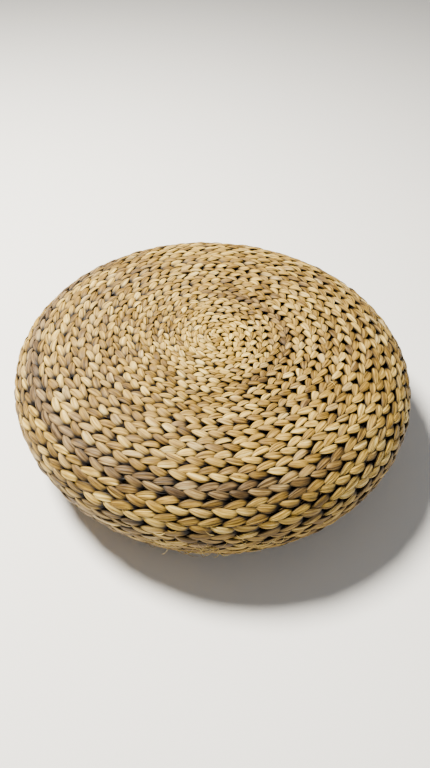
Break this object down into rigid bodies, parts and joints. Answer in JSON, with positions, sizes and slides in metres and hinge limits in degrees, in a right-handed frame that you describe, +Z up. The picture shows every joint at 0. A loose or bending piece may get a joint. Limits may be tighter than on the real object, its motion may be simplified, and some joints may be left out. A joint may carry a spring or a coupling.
{
  "type": "round woven floor cushion",
  "caption": "Thick round seat pad with a coiled shell of plaited dried leaf over a lined foam and fibre core, with a shallow dish in the top.",
  "frame": {"origin": "on the floor, under the middle of the pad", "axes": "+Z up through the middle of the coil; the pad is round, so +X and +Y are free, and -Y is the side seen first"},
  "size_m": [0.5995, 0.5996, 0.1894],
  "materials": {
    "plait_leaf": "dried leaf in three-strand plaits, unvarnished, matt",
    "seam_twine": "matt natural twine",
    "lining_cloth": "plain woven cotton, dyed dark brown",
    "soft_foam": "soft open-cell foam",
    "pressed_fibre": "pressed coconut fibre",
    "firm_foam": "firm open-cell foam"
  },
  "bodies": {
    "root": {"crown_plait": "plait_leaf", "top_plait_1": "plait_leaf", "top_plait_2": "plait_leaf", "top_plait_3": "plait_leaf", "top_plait_4": "plait_leaf", "rim_plait_1": "plait_leaf", "rim_plait_2": "plait_leaf", "side_plait_1": "plait_leaf", "side_plait_2": "plait_leaf", "side_plait_3": "plait_leaf", "side_plait_4": "plait_leaf", "side_plait_5": "plait_leaf", "base_plait_1": "plait_leaf", "base_plait_2": "plait_leaf", "base_plait_3": "plait_leaf", "base_plait_4": "plait_leaf", "top_seam_twine": "seam_twine", "side_seam_twine": "seam_twine", "base_seam_twine": "seam_twine", "lining_top_panel": "lining_cloth", "lining_side_band": "lining_cloth", "lining_base_panel": "lining_cloth", "soft_top_layer": "soft_foam", "fibre_middle_layer": "pressed_fibre", "firm_base_layer": "firm_foam"}
  },
  "joints": []
}
